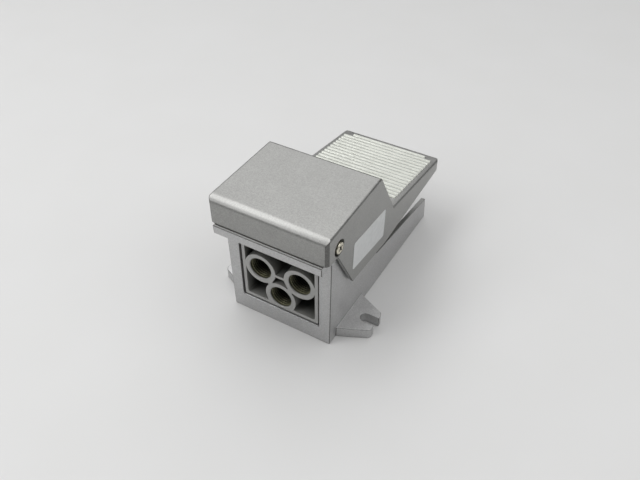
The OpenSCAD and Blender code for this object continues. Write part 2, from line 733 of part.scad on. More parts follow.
module body_screws() color("#b9b6a8") placed() at_body_screws()
  translate([0, 0, body_head_sink + body_head_h]) mirror([0, 0, 1])
  cross_screw(body_screw_d, body_head_d, body_head_h, body_z - body_head_sink - body_head_h + body_screw_grip);

// A sintered plug with a collar and a rounded end, pointing back
module exhaust_silencers() color("#a8814a") placed() for (z = [chamber[0], chamber[4]])
  translate([0, body_y1, z]) rotate([-90, 0, 0]) rotate_extrude() {
    translate([0, -silencer_grip]) square([silencer_d / 2, silencer_grip]);
    square([silencer_collar_d / 2, silencer_collar_t]);
    translate([0, silencer_collar_t - over / 2]) square([silencer_d / 2 - 1, silencer_nose + over / 2]);
    intersection() {
      translate([0, silencer_collar_t]) circle(r = silencer_d / 2);
      translate([0, silencer_collar_t - over / 2]) square([silencer_d, silencer_nose + over / 2]);
    }
  }

module spool_spring() color("#c9c9c6") placed() translate([0, spool_y, spool_spring_low])
  coil(spool_spring_od, spool_spring_wire, spool_spring_top - spool_spring_low, spool_spring_turns, 6);

module return_spring() color("#c9c9c6") placed() translate([0, spring_y, floor_t + spring_seat_gap])
  coil(spring_od, spring_wire, seat_z - floor_t - 2 * spring_seat_gap, spring_turns);

// A rubber button with a domed top and a stem in the post
module stop_bumper() color("#262626") placed() translate([0, stop_y, 0]) rotate_extrude() {
  intersection() {
    translate([0, stop_low]) square([stop_d / 2, stop_top - stop_low]);
    translate([0, stop_top - stop_d]) circle(r = stop_d);
  }
  translate([0, floor_t + over]) square([stop_stem_r - slip, stop_post]);
}

module pivot_bushes() color("#b08d4f") placed() both() translate([0, pivot_y, pivot_z]) difference() {
  union() {
    rod_x(bush_r - slip, lug_in, lug_out + bush_flange);
    rod_x(bush_r + bush_rim, lug_out, lug_out + bush_flange);
  }
  rod_x(shaft_d / 2 + shaft_gap, lug_in - over, lug_out + bush_flange + over);
}

// The tread's own plane: x across, y along its fall, z square to it
module on_tread() translate([0, tread_y, tread_z]) rotate([-tread_fall, 0, 0]) children();

// The pedal seen from above, d inside its sides, from y0 back to y1, with corners of radius r0 and r1
module pedal_plan(d, y0, y1, r0 = 0, r1 = 0) polygon(rounded([
  [d - pedal_x(y0), y0, r0], [pedal_x(y0) - d, y0, r0], [pedal_x(y1) - d, y1, r1], [d - pedal_x(y1), y1, r1]]));

// What rounds the pedal's upper right edge, which passes through (y, z) and climbs by the angle slope
module pedal_edge(y, z, slope) {
  x = pedal_x(y) * cos(pedal_turn) + slip;
  translate([0, y, z]) rotate([0, 0, pedal_turn]) rotate([slope, 0, 0]) front(-far, far)
    polygon(rounded([[-far, -far, 0], [x, -far, 0], [x, 0, pedal_edge_r], [-far, far * tan(edge_blend), 0]]));
}

// The same on both sides
module pedal_edges(y, z, slope) intersection() {
  pedal_edge(y, z, slope);
  mirror([1, 0, 0]) pedal_edge(y, z, slope);
}

// The pedal without its hollow
module pedal_block() intersection() {
  side(far) polygon(rounded(pedal_outline));
  linear_extrude(hood_back_z + over) pedal_plan(0, hood_y, tread_end, pedal_front_r, pedal_back_r);
  union() {
    intersection() {
      pedal_edges(hood_y, hood_front_z, atan2(hood_top_rise, hood_back - hood_y));
      translate([-far, hood_y - over, 0]) cube([2 * far, tread_y - hood_y + over, 2 * far]);
    }
    intersection() {
      pedal_edges(tread_y, tread_z, -tread_fall);
      translate([-far, tread_y, 0]) cube([2 * far, far, 2 * far]);
    }
  }
}

// What stands inside the pedal's hollow: pivot bosses, press screw boss, spring seat and webs
module pedal_bosses() {
  both() translate([0, pivot_y, pivot_z]) rod_x(pivot_boss_d / 2, boss_x, far);
  translate([0, spool_y, boss_low]) cylinder(d = press_boss_d, h = far);
  translate([0, spring_y, seat_z]) cylinder(r = seat_r, h = far);
  translate([0, spring_y, seat_z - peg_h]) cylinder(r = peg_r, h = far);
  intersection() {
    on_tread() both() translate([web_pitch / 2 - web_t / 2, 0, -tread_t - web_depth])
      cube([web_t, far, far]);
    translate([-far, tread_y, 0]) cube([2 * far, tread_end - hood_wall - tread_y, far]);
  }
}

// A grip rib across the tread, of half-length x, in the tread's own plane
module rib(x) side(2 * x) polygon([
  [-rib_w / 2, -over / 2], [rib_w / 2, -over / 2], [rib_top / 2, rib_h], [-rib_top / 2, rib_h]]);

module pedal() color("#a9a9a5") placed() difference() {
  union() {
    pedal_block();
    on_tread() for (i = [0:rib_count - 1]) {
      back = (tread_end - tread_y) / cos(tread_fall) - rib_back - i * rib_pitch / cos(tread_fall);
      translate([0, back, 0]) rib(pedal_x(tread_end) - rib_margin - (i == 0 ? rib_last_cut : 0));
    }
  }
  difference() {
    intersection() {
      side(far) polygon(rounded(pedal_hollow));
      linear_extrude(far) pedal_plan(pedal_wall, hood_y, tread_end + over);
    }
    pedal_bosses();
  }
  both() translate([0, pivot_y, pivot_z]) {
    rod_x(shank_r + 2 * screw_gap, boss_x - over, far);
    rod_x(pivot_recess_d / 2, recess_x, far);
  }
  translate([0, spool_y, boss_low - over]) cylinder(d = press_d + screw_gap, h = press_top - boss_low + 1.5 * over);
}

module pivot_shaft() color("#b4b6b8") placed() translate([0, pivot_y, pivot_z]) difference() {
  rod_x(shaft_d / 2, -shaft_end, shaft_end);
  both() rod_x(shank_r + screw_gap / 2, recess_x + pivot_washer_t - pivot_shank - over, shaft_end + over);
}

module pivot_washers() color("#b8b09a") placed() both() translate([0, pivot_y, pivot_z]) difference() {
  rod_x(pivot_head_d / 2 - screw_gap, recess_x, recess_x + pivot_washer_t);
  rod_x(shank_r + screw_gap, recess_x - over, recess_x + pivot_washer_t + over);
}

// Cross-recessed screws with slightly domed heads
module pivot_screws() color("#c7bfa6") placed() both()
  translate([recess_x + pivot_washer_t, pivot_y, pivot_z]) rotate([0, 90, 0]) intersection() {
    cross_screw(2 * shank_r, pivot_head_d, pivot_head_h, pivot_shank);
    translate([0, 0, pivot_head_h - 2 * pivot_head_d]) sphere(r = 2 * pivot_head_d, $fn = 96);
  }

// A set screw with a rounded tip that points down
module press_screw() color("#8f9296") placed() translate([0, spool_y, 0]) rotate_extrude() {
  translate([0, tip_z + press_d / 2]) square([press_d / 2, press_top - tip_z - press_d / 2]);
  intersection() {
    translate([0, tip_z + press_d / 2]) circle(d = press_d);
    translate([0, tip_z]) square([press_d, press_d]);
  }
}

module lock_nut() color("#c7bfa6") placed() translate([0, spool_y, nut_low]) difference() {
  cylinder(d = nut_af / cos(30), h = nut_h, $fn = 6);
  translate([0, 0, -over]) cylinder(d = press_d + screw_gap, h = nut_h + 2 * over);
}

module spool() color("#c3c5c6") placed() translate([0, spool_y, 0]) difference() {
  union() {
    for (z = seal_z) translate([0, 0, z - land_w / 2]) cylinder(r = land_r, h = land_w);
    translate([0, 0, spool_low]) cylinder(d = waist_d, h = seal_z[2] - spool_low);
    translate([0, 0, spool_low - nose_h]) cylinder(r = nose_r, h = nose_h + over);
    translate([0, 0, seal_z[2]]) cylinder(d = stem_d, h = stem_top - seal_z[2]);
  }
  for (z = seal_z) translate([0, 0, z]) rotate_extrude()
    translate([seal_r - seal_d / 2 - groove_gap, -seal_d / 2 - groove_gap])
      square([seal_d + 2 * over, seal_d + 2 * groove_gap]);
}

module spool_seals() color("#1d1d1d") placed() for (z = seal_z) translate([0, spool_y, z]) ring(seal_r, seal_d);

// A domed cap pressed over the stem
module push_button() color("#d0cfca") placed() translate([0, spool_y, button_low]) difference() {
  cylinder(d = button_d, h = button_h);
  translate([0, 0, -over]) cylinder(d = stem_d + 2 * slip, h = stem_grip + over + slip);
}

base();
valve_body();
top_cap();
top_cap_gasket();
top_cap_screws();
stem_seal();
bottom_cap();
bottom_cap_gasket();
bottom_cap_screws();
body_screws();
exhaust_silencers();
spool_spring();
return_spring();
stop_bumper();
pivot_bushes();
pedal();
pivot_shaft();
pivot_screws();
pivot_washers();
press_screw();
lock_nut();
spool();
spool_seals();
push_button();
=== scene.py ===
import json
import math
import bpy
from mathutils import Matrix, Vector


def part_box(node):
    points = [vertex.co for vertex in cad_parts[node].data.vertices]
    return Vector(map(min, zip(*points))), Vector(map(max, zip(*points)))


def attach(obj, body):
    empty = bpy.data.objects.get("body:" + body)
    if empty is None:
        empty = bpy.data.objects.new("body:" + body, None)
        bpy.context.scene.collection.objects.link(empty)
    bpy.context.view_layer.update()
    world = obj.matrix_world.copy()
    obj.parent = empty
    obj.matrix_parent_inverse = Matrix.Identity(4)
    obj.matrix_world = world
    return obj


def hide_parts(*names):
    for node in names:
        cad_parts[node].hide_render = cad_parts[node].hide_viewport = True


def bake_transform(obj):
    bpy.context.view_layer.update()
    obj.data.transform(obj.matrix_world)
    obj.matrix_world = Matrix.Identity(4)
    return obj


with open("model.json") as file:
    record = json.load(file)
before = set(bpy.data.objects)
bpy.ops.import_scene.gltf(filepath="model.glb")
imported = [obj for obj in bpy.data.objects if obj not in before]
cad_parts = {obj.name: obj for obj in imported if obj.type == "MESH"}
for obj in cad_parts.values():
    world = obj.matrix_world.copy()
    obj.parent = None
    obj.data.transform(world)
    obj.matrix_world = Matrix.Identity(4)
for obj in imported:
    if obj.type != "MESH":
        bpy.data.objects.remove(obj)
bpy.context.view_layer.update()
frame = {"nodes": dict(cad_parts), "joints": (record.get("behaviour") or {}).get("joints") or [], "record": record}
nodes = frame["nodes"]
mm = 0.001
joints = {joint["name"]: joint for joint in frame["joints"]}
mounts = {mount["name"]: mount for mount in frame["record"]["mounts"]}
pivot = Vector(joints["pedal_hinge"]["pos_m"])
scene = bpy.context.scene
scene.view_settings.view_transform = "Standard"
print("frame loaded:", len(nodes), "nodes")

# camera: where the photographer stood, worked out from the straight edges of the base and the pedal
cameraSetup = {
    "place": (0.14004, -0.25793, 0.27573),
    "target": (0.00085, -0.02055, 0.02949),
    "lens": 37.73, "sensor": 36,       # mm, for the 640 x 480 frame
    "nearest": 0.01,                   # m; nothing closer than this is drawn
}
bpy.ops.object.select_all(action="DESELECT")
bpy.ops.object.camera_add(location=cameraSetup["place"])
camera = bpy.context.object
camera.name = "photoCamera"
sight = Vector(cameraSetup["target"]) - Vector(cameraSetup["place"])
camera.rotation_euler = sight.to_track_quat("-Z", "Y").to_euler()
camera.data.lens = cameraSetup["lens"]
camera.data.sensor_width = cameraSetup["sensor"]
camera.data.clip_start = cameraSetup["nearest"]
scene.camera = camera
print("camera set")


def linear(colour):
    # sRGB hex to the linear value that Blender works in
    parts = [int(colour[i:i + 2], 16) / 255 for i in (1, 3, 5)]
    return [p / 12.92 if p <= 0.04045 else ((p + 0.055) / 1.055) ** 2.4 for p in parts] + [1]


def addNode(material, kind, inputs=None, **settings):
    # one node with its settings; an input is a value or another node's output
    tree = material.node_tree
    node = tree.nodes.new(kind)
    for name, value in settings.items():
        setattr(node, name, value)
    for name, value in (inputs or {}).items():
        if isinstance(value, bpy.types.NodeSocket):
            tree.links.new(value, node.inputs[name])
        else:
            node.inputs[name].default_value = value
    return node


def newMaterial(name):
    material = bpy.data.materials.new(name)
    material.use_nodes = True
    material.node_tree.nodes.clear()
    return material


def perMm(size):
    # the scale of a pattern whose features are that many millimetres wide
    return 1 / (size * mm)


# silver paint with aluminium flakes on a die casting: a satin sheen, a very fine grain of lighter and
# darker flakes, slow clouds where the paint lies thicker, and a slight peel
def flakePaint(name, look):
    m = newMaterial(name)
    place = addNode(m, "ShaderNodeTexCoord").outputs["Object"]
    flakes = addNode(m, "ShaderNodeTexVoronoi", {"Vector": place, "Scale": perMm(look["flake"])})
    flake = addNode(m, "ShaderNodeSeparateColor", {"Color": flakes.outputs["Color"]}).outputs["Red"]
    clouds = addNode(m, "ShaderNodeTexNoise", {
        "Vector": place, "Scale": perMm(look["cloud"]), "Detail": 3.0})
    share = addNode(m, "ShaderNodeMapRange", {
        "Value": clouds.outputs["Fac"], "From Min": 0.3, "From Max": 0.7, "To Min": -0.12, "To Max": 0.12})
    tone = addNode(m, "ShaderNodeMath", {0: flake, 1: share.outputs["Result"]}, operation="ADD")
    ramp = addNode(m, "ShaderNodeValToRGB", {"Fac": tone.outputs[0]})
    ramp.color_ramp.elements[0].color = linear(look["dark"])
    ramp.color_ramp.elements[1].color = linear(look["bright"])
    ramp.color_ramp.elements.new(0.5).color = linear(look["colour"])
    shine = addNode(m, "ShaderNodeMapRange", {
        "Value": flake, "To Min": look["roughness"] - 0.04, "To Max": look["roughness"] + 0.06})
    peel = addNode(m, "ShaderNodeTexNoise", {
        "Vector": place, "Scale": perMm(look["peel"]), "Detail": 2.0})
    bump = addNode(m, "ShaderNodeBump", {
        "Height": peel.outputs["Fac"], "Distance": look["peelHeight"] * mm, "Strength": 1.0})
    shader = addNode(m, "ShaderNodeBsdfPrincipled", {
        "Base Color": ramp.outputs["Color"], "Metallic": look["metallic"],
        "Roughness": shine.outputs["Result"], "Normal": bump.outputs["Normal"]})
    addNode(m, "ShaderNodeOutputMaterial", {"Surface": shader.outputs[0]})
    return m


# aluminium alloy without paint: mill or casting grain that dulls the reflection, drawn out along one axis
# where a cutter has gone over it, and, where a look asks for it, painted shade that darkens with depth into a
# hollow
def bareAlloy(name, look):
    m = newMaterial(name)
    place = addNode(m, "ShaderNodeTexCoord").outputs["Object"]
    stretch = addNode(m, "ShaderNodeMapping", {"Vector": place, "Scale": look["stretch"]})
    grain = addNode(m, "ShaderNodeTexNoise", {
        "Vector": stretch.outputs["Vector"], "Scale": perMm(look["grain"]), "Detail": 4.0, "Roughness": 0.6})
    stain = addNode(m, "ShaderNodeTexNoise", {
        "Vector": place, "Scale": perMm(look["stain"]), "Detail": 2.0})
    mixed = addNode(m, "ShaderNodeMath", {
        0: grain.outputs["Fac"], 1: stain.outputs["Fac"]}, operation="ADD")
    mean = addNode(m, "ShaderNodeMath", {0: mixed.outputs[0], 1: 0.5}, operation="MULTIPLY")
    ramp = addNode(m, "ShaderNodeValToRGB", {"Fac": mean.outputs[0]})
    ramp.color_ramp.elements[0].position = 0.3
    ramp.color_ramp.elements[0].color = linear(look["dark"])
    ramp.color_ramp.elements[1].position = 0.7
    ramp.color_ramp.elements[1].color = linear(look["colour"])
    skin = ramp.outputs["Color"]
    # painted shade: the colour darkens along y towards the given depth, as shade falls deep in a hollow
    if "deepShade" in look:
        depth = addNode(m, "ShaderNodeSeparateXYZ", {"Vector": place}).outputs["Y"]
        share = addNode(m, "ShaderNodeMapRange", {
            "Value": depth, "From Min": look["deepShadeFrom"] * mm, "From Max": look["deepShadeTo"] * mm})
        skin = addNode(m, "ShaderNodeMixRGB", {
            "Fac": share.outputs["Result"], "Color1": skin, "Color2": linear(look["deepShade"])}).outputs["Color"]
    shine = addNode(m, "ShaderNodeMapRange", {
        "Value": grain.outputs["Fac"], "To Min": look["roughness"] - 0.1, "To Max": look["roughness"] + 0.1})
    bump = addNode(m, "ShaderNodeBump", {
        "Height": grain.outputs["Fac"], "Distance": look["relief"] * mm, "Strength": 1.0})
    shader = addNode(m, "ShaderNodeBsdfPrincipled", {
        "Base Color": skin, "Metallic": look["metallic"], "Roughness": shine.outputs["Result"],
        "Normal": bump.outputs["Normal"]})
    addNode(m, "ShaderNodeOutputMaterial", {"Surface": shader.outputs[0]})
    return m


# steel with a drawn, ground or plated skin: sharp bright reflections, broken by fine marks along the work
def finishedSteel(name, look):
    m = newMaterial(name)
    place = addNode(m, "ShaderNodeTexCoord").outputs["Object"]
    stretch = addNode(m, "ShaderNodeMapping", {"Vector": place, "Scale": look["stretch"]})
    marks = addNode(m, "ShaderNodeTexNoise", {
        "Vector": stretch.outputs["Vector"], "Scale": perMm(look["marks"]), "Detail": 3.0})
    ramp = addNode(m, "ShaderNodeValToRGB", {"Fac": marks.outputs["Fac"]})
    ramp.color_ramp.elements[0].position = 0.35
    ramp.color_ramp.elements[0].color = linear(look["dark"])
    ramp.color_ramp.elements[1].position = 0.65
    ramp.color_ramp.elements[1].color = linear(look["colour"])
    shine = addNode(m, "ShaderNodeMapRange", {
        "Value": marks.outputs["Fac"],
        "To Min": look["roughness"] - 0.08, "To Max": look["roughness"] + 0.12})
    bump = addNode(m, "ShaderNodeBump", {
        "Height": marks.outputs["Fac"], "Distance": look["relief"] * mm, "Strength": 0.6})
    shader = addNode(m, "ShaderNodeBsdfPrincipled", {
        "Base Color": ramp.outputs["Color"], "Metallic": 1.0, "Roughness": shine.outputs["Result"],
        "Normal": bump.outputs["Normal"]})
    addNode(m, "ShaderNodeOutputMaterial", {"Surface": shader.outputs[0]})
    return m


# rubber and plastic: no metal, a soft broad sheen, a moulded grain
def mouldedPolymer(name, look):
    m = newMaterial(name)
    place = addNode(m, "ShaderNodeTexCoord").outputs["Object"]
    grain = addNode(m, "ShaderNodeTexNoise", {
        "Vector": place, "Scale": perMm(look["grain"]), "Detail": 3.0})
    ramp = addNode(m, "ShaderNodeValToRGB", {"Fac": grain.outputs["Fac"]})
    ramp.color_ramp.elements[0].position = 0.3
    ramp.color_ramp.elements[0].color = linear(look["dark"])
    ramp.color_ramp.elements[1].position = 0.7
    ramp.color_ramp.elements[1].color = linear(look["colour"])
    bump = addNode(m, "ShaderNodeBump", {
        "Height": grain.outputs["Fac"], "Distance": look["relief"] * mm, "Strength": 0.8})
    shader = addNode(m, "ShaderNodeBsdfPrincipled", {
        "Base Color": ramp.outputs["Color"], "Roughness": look["roughness"], "IOR": look["ior"],
        "Normal": bump.outputs["Normal"]})
    addNode(m, "ShaderNodeOutputMaterial", {"Surface": shader.outputs[0]})
    return m


# sintered bronze: round grains fused together, dull gold with dark pores between them
def sinteredBronze(name, look):
    m = newMaterial(name)
    place = addNode(m, "ShaderNodeTexCoord").outputs["Object"]
    grains = addNode(m, "ShaderNodeTexVoronoi", {"Vector": place, "Scale": perMm(look["grain"])})
    ramp = addNode(m, "ShaderNodeValToRGB", {"Fac": grains.outputs["Distance"]})
    ramp.color_ramp.elements[0].color = linear(look["colour"])
    ramp.color_ramp.elements[1].position = 0.75
    ramp.color_ramp.elements[1].color = linear(look["dark"])
    bump = addNode(m, "ShaderNodeBump", {
        "Height": grains.outputs["Distance"], "Distance": look["relief"] * mm, "Strength": 1.0}, invert=True)
    shader = addNode(m, "ShaderNodeBsdfPrincipled", {
        "Base Color": ramp.outputs["Color"], "Metallic": 0.9, "Roughness": look["roughness"],
        "Normal": bump.outputs["Normal"]})
    addNode(m, "ShaderNodeOutputMaterial", {"Surface": shader.outputs[0]})
    return m


pedalPaint = flakePaint("silverFlakePaint", {
    "colour": "#9a9a98", "dark": "#91918f", "bright": "#a5a5a3", "metallic": 0.8, "roughness": 0.34,
    "flake": 0.45,       # mm; real flakes are ten times finer, drawn as coarse as the render can show
    "cloud": 14.0, "peel": 0.9, "peelHeight": 0.006})
basePaint = flakePaint("silverFlakePaintBase", {
    "colour": "#bfbfbf", "dark": "#b6b6b6", "bright": "#cacaca", "metallic": 0.88, "roughness": 0.46,
    "flake": 0.45,       # mm; drawn coarser than real, as on the pedal
    "cloud": 12.0, "peel": 0.8, "peelHeight": 0.008})
# a darker copy of the paint: painted shade along the castings' edges
edgeShadePaint = flakePaint("silverFlakePaintEdgeShade", {
    "colour": "#6e6e6c", "dark": "#646462", "bright": "#797977", "metallic": 0.8, "roughness": 0.4,
    "flake": 0.45,       # mm; drawn coarser than real, as on the pedal
    "cloud": 12.0, "peel": 0.8, "peelHeight": 0.006})
ribMetal = bareAlloy("groundAluminium", {
    "colour": "#e0e2db", "dark": "#d0d2ca", "metallic": 0.35, "roughness": 0.42, "relief": 0.01,
    "grain": 0.5, "stretch": (0.15, 1.0, 1.0), "stain": 8.0})
blockAlloy = bareAlloy("dieCastAluminium", {
    "colour": "#b0b0ac", "dark": "#a0a09c", "metallic": 0.4, "roughness": 0.5, "relief": 0.02,
    "deepShade": "#545451", "deepShadeFrom": -61.0, "deepShadeTo": -53.0,       # mm along y; painted shade deep in the front pocket
    "grain": 0.6, "stretch": (1.0, 1.0, 1.0), "stain": 7.0})
milledFace = bareAlloy("milledAluminium", {
    "colour": "#b4b4b2", "dark": "#a4a4a2", "metallic": 0.6, "roughness": 0.42, "relief": 0.006,
    "grain": 0.5, "stretch": (0.2, 1.0, 1.0), "stain": 6.0})
tappedWall = bareAlloy("tappedAluminium", {
    "colour": "#8b8a72", "dark": "#5f5e49", "metallic": 0.7, "roughness": 0.42, "relief": 0.01,
    "deepShade": "#23231a", "deepShadeFrom": -58.5, "deepShadeTo": -53.5,       # mm along y; painted shade further into the ports
    "grain": 0.6, "stretch": (1.0, 1.0, 1.0), "stain": 3.0})
capAlloy = bareAlloy("turnedAluminium", {
    "colour": "#b7b9ba", "dark": "#a2a4a6", "metallic": 0.8, "roughness": 0.38, "relief": 0.006,
    "grain": 0.4, "stretch": (0.2, 1.0, 1.0), "stain": 6.0})
zincSteel = finishedSteel("yellowZincSteel", {
    "colour": "#e2ded0", "dark": "#cfc9b4", "roughness": 0.27, "marks": 0.5, "relief": 0.006,
    "stretch": (1.0, 1.0, 1.0)})
# a dark steel for the inside of the cross recess: painted shade
recessShadeSteel = finishedSteel("shadedRecessSteel", {
    "colour": "#6a655a", "dark": "#3c3933", "roughness": 0.5, "marks": 0.5, "relief": 0.006,
    "stretch": (1.0, 1.0, 1.0)})
groundSteel = finishedSteel("groundSteel", {
    "colour": "#c9cbcd", "dark": "#b2b5b8", "roughness": 0.25, "marks": 0.35, "relief": 0.004,
    "stretch": (4.0, 1.0, 1.0)})
springWire = finishedSteel("drawnSpringWire", {
    "colour": "#a9abad", "dark": "#8c8f92", "roughness": 0.33, "marks": 0.4, "relief": 0.008,
    "stretch": (0.3, 0.3, 2.0)})
bushBronze = sinteredBronze("sinteredBronze", {
    "colour": "#b58f52", "dark": "#6d5330", "roughness": 0.5, "grain": 0.5, "relief": 0.05})
sealRubber = mouldedPolymer("nitrileRubber", {
    "colour": "#2c2c2c", "dark": "#1d1d1d", "roughness": 0.62, "ior": 1.52, "grain": 0.5, "relief": 0.02})
gasketFibre = mouldedPolymer("fibreGasket", {
    "colour": "#3b3a37", "dark": "#262523", "roughness": 0.85, "ior": 1.5, "grain": 0.35, "relief": 0.03})
buttonAcetal = mouldedPolymer("mouldedAcetal", {
    "colour": "#d5d4cd", "dark": "#c8c7bf", "roughness": 0.35, "ior": 1.48, "grain": 1.2, "relief": 0.004})
labelFilm = mouldedPolymer("printedFilm", {
    "colour": "#d9dbdb", "dark": "#d0d2d2", "roughness": 0.45, "ior": 1.5, "grain": 2.5, "relief": 0.004})
print("materials made")

# CAD nodes that keep their own shape, each with its real finish
nodeFinish = {
    "top_cap": capAlloy, "bottom_cap": capAlloy,
    "top_cap_gasket": gasketFibre, "bottom_cap_gasket": gasketFibre,
    "stem_seal": sealRubber, "spool_seals": sealRubber, "stop_bumper": sealRubber,
    "top_cap_screws": zincSteel, "bottom_cap_screws": zincSteel, "body_screws": zincSteel,
    "pivot_washers": zincSteel, "lock_nut": zincSteel,
    "pivot_shaft": groundSteel, "press_screw": groundSteel, "spool": groundSteel,
    "exhaust_silencers": bushBronze, "pivot_bushes": bushBronze,
    "push_button": buttonAcetal,
}
for name, finish in nodeFinish.items():
    nodes[name].data.materials.clear()
    nodes[name].data.materials.append(finish)

# how the copies of the castings are cleaned, rounded and shaded
castSetup = {
    "merge": 0.002,          # mm; points closer than this are one
    "flat": 0.4,             # degrees; flatter edges between triangles are dissolved
    "sharp": 34,             # degrees; edges sharper than this are rounded
    "sliver": 0.001,         # mm; edges shorter than this are dropped after the rounding
    "flatWeight": 90,        # how far big flat faces rule the shading at their rims, up to 100
}


def startCopy(node, name):
    # a copy of a CAD node, its triangles merged into clean faces, in edit mode with nothing selected
    bpy.ops.object.select_all(action="DESELECT")
    piece = bpy.data.objects.new(name, nodes[node].data.copy())
    scene.collection.objects.link(piece)
    piece.data.materials.clear()
    piece.select_set(True)
    bpy.context.view_layer.objects.active = piece
    bpy.ops.object.mode_set(mode="EDIT")
    bpy.ops.mesh.select_all(action="SELECT")
    bpy.ops.mesh.remove_doubles(threshold=castSetup["merge"] * mm)
    bpy.ops.mesh.dissolve_limited(angle_limit=math.radians(castSetup["flat"]))
    bpy.ops.mesh.vert_connect_concave()
    bpy.ops.mesh.normals_make_consistent(inside=False)
    bpy.ops.mesh.select_all(action="DESELECT")
    return piece


def smoothPiece(piece, angle=32):
    # smooth shading across edges flatter than the angle, in degrees, with flat faces kept flat
    bpy.ops.object.select_all(action="DESELECT")
    piece.select_set(True)
    bpy.context.view_layer.objects.active = piece
    bpy.ops.object.shade_smooth_by_angle(angle=math.radians(angle))
    flats = piece.modifiers.new("flatFaces", "WEIGHTED_NORMAL")
    flats.mode = "FACE_AREA"
    flats.weight = castSetup["flatWeight"]
    flats.keep_sharp = True
    bpy.ops.object.modifier_apply(modifier=flats.name)


def roundEdges(piece, width, segments, slot=-1, leaveOut=None):
    # the small rounding that a die casting has along its sharp edges, in a material slot of its own if
    # given; leaveOut says of an edge's middle whether that edge stays sharp
    bpy.ops.object.select_all(action="DESELECT")
    piece.select_set(True)
    bpy.context.view_layer.objects.active = piece
    bpy.ops.object.mode_set(mode="EDIT")
    bpy.ops.mesh.select_mode(type="EDGE")
    bpy.ops.mesh.select_all(action="DESELECT")
    bpy.ops.mesh.edges_select_sharp(sharpness=math.radians(castSetup["sharp"]))
    bpy.ops.object.mode_set(mode="OBJECT")
    weights = piece.data.attributes.new("bevel_weight_edge", "FLOAT", "EDGE")
    for edge in piece.data.edges:
        start, end = [piece.data.vertices[i].co for i in edge.vertices]
        chosen = edge.select and not (leaveOut and leaveOut((start + end) / 2))
        weights.data[edge.index].value = 1.0 if chosen else 0.0
    rounding = piece.modifiers.new("castEdges", "BEVEL")
    rounding.width = width * mm
    rounding.segments = segments
    rounding.limit_method = "WEIGHT"
    rounding.use_clamp_overlap = False
    rounding.material = slot
    bpy.ops.object.modifier_apply(modifier=rounding.name)
    piece.data.attributes.remove(piece.data.attributes["bevel_weight_edge"])
    bpy.ops.object.mode_set(mode="EDIT")
    bpy.ops.mesh.select_all(action="SELECT")
    bpy.ops.mesh.dissolve_degenerate(threshold=castSetup["sliver"] * mm)
    bpy.ops.mesh.vert_connect_concave()
    bpy.ops.mesh.select_all(action="DESELECT")
    bpy.ops.object.mode_set(mode="OBJECT")


# pedal: hood, skirts and tread in one casting, the tops of its grip ribs ground bright
pedalSetup = {
    "edge": 0.35, "segments": 3,       # mm; rounding of the casting's edges
    "treadFront": (2.95, 49.3),        # mm; y and z of the tread's front edge
    "treadFall": 7.4,                  # degrees, towards the back
    "ribFoot": 0.12,                   # mm above the tread, where the bright part of a rib begins
    "margin": 2.2,                     # mm; plain rim beside the ribs
    "treadSkin": 0.6,                  # mm below the tread that still counts as its top
    "hoodRise": 6,                     # mm above the tread, well up the hood
    "footStart": 2, "footReach": 0.1,  # mm behind the tread's front and off the tread, for the ribs' feet
    "cornerSide": 28,                  # mm from the middle plane to the small corners at the slope's foot
    "cornerFrom": -0.8, "cornerTo": 1.2, "cornerRise": 2.2,      # mm from the tread's front, in y and z
    # parts of a face's normal, which tell the edges with painted shade from the rest
    "frontTurn": (0.42, 0.90), "frontTilt": 0.3,
    "leftTurn": (-0.95, -0.15), "leftTilt": 0.2, "leftOnTread": 0.5,
    "rearTurn": 0.3, "rearLean": (0.12, 0.5),
}
pedalCasting = startCopy("pedal", "pedalCasting")
bpy.ops.object.mode_set(mode="OBJECT")
paintSlot, ribSlot, edgeShadeSlot = 0, 1, 2
for finish in (pedalPaint, ribMetal, edgeShadePaint):
    pedalCasting.data.materials.append(finish)
fall = math.radians(pedalSetup["treadFall"])
treadUp = Vector((0, math.sin(fall), math.cos(fall)))
treadFront = Vector((0, *pedalSetup["treadFront"])) * mm


def staysSharp(point):
    # where a rib stands on the tread, and the small corners where slope, tread and side meet
    away = point - treadFront
    if away.y > pedalSetup["footStart"] * mm:
        return abs(away.dot(treadUp)) < pedalSetup["footReach"] * mm
    atSide = abs(point.x) > pedalSetup["cornerSide"] * mm
    atFront = pedalSetup["cornerFrom"] * mm < away.y < pedalSetup["cornerTo"] * mm
    return atSide and atFront and abs(away.z) < pedalSetup["cornerRise"] * mm


def isBetween(value, limits):
    return limits[0] < value < limits[1]


# the rounded edges take the darker paint, painted shade along them
roundEdges(pedalCasting, pedalSetup["edge"], pedalSetup["segments"], slot=edgeShadeSlot, leaveOut=staysSharp)
smoothPiece(pedalCasting)
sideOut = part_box("pedal")[1].x
ribEnd = sideOut - pedalSetup["margin"] * mm
for face in pedalCasting.data.polygons:
    above = (face.center - treadFront).dot(treadUp)
    facing = face.normal
    turned = abs(facing.x)
    onTread = face.center.y > treadFront.y
    frontEdge = isBetween(turned, pedalSetup["frontTurn"]) and abs(facing.z) < pedalSetup["frontTilt"]
    leftEdge = isBetween(facing.x, pedalSetup["leftTurn"]) and facing.z > pedalSetup["leftTilt"]
    rearEdge = turned < pedalSetup["rearTurn"] and isBetween(facing.y, pedalSetup["rearLean"])
    if onTread and above > pedalSetup["ribFoot"] * mm:
        face.material_index = ribSlot
    elif onTread and above > -pedalSetup["treadSkin"] * mm and abs(face.center.x) < ribEnd:
        face.material_index = paintSlot
    # painted shade: the hood's upright front corners, faces turned left and up, and the hood's rear top edge take
    # the darker paint
    elif frontEdge and face.center.y < 0:
        face.material_index = edgeShadeSlot
    elif leftEdge:
        plainRim = onTread and turned <= pedalSetup["leftOnTread"]
        face.material_index = paintSlot if plainRim else edgeShadeSlot
    elif rearEdge and above > pedalSetup["hoodRise"] * mm:
        face.material_index = edgeShadeSlot
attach(pedalCasting, "pedal")
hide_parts("pedal")
print("pedal casting:", len(pedalCasting.data.polygons), "faces")

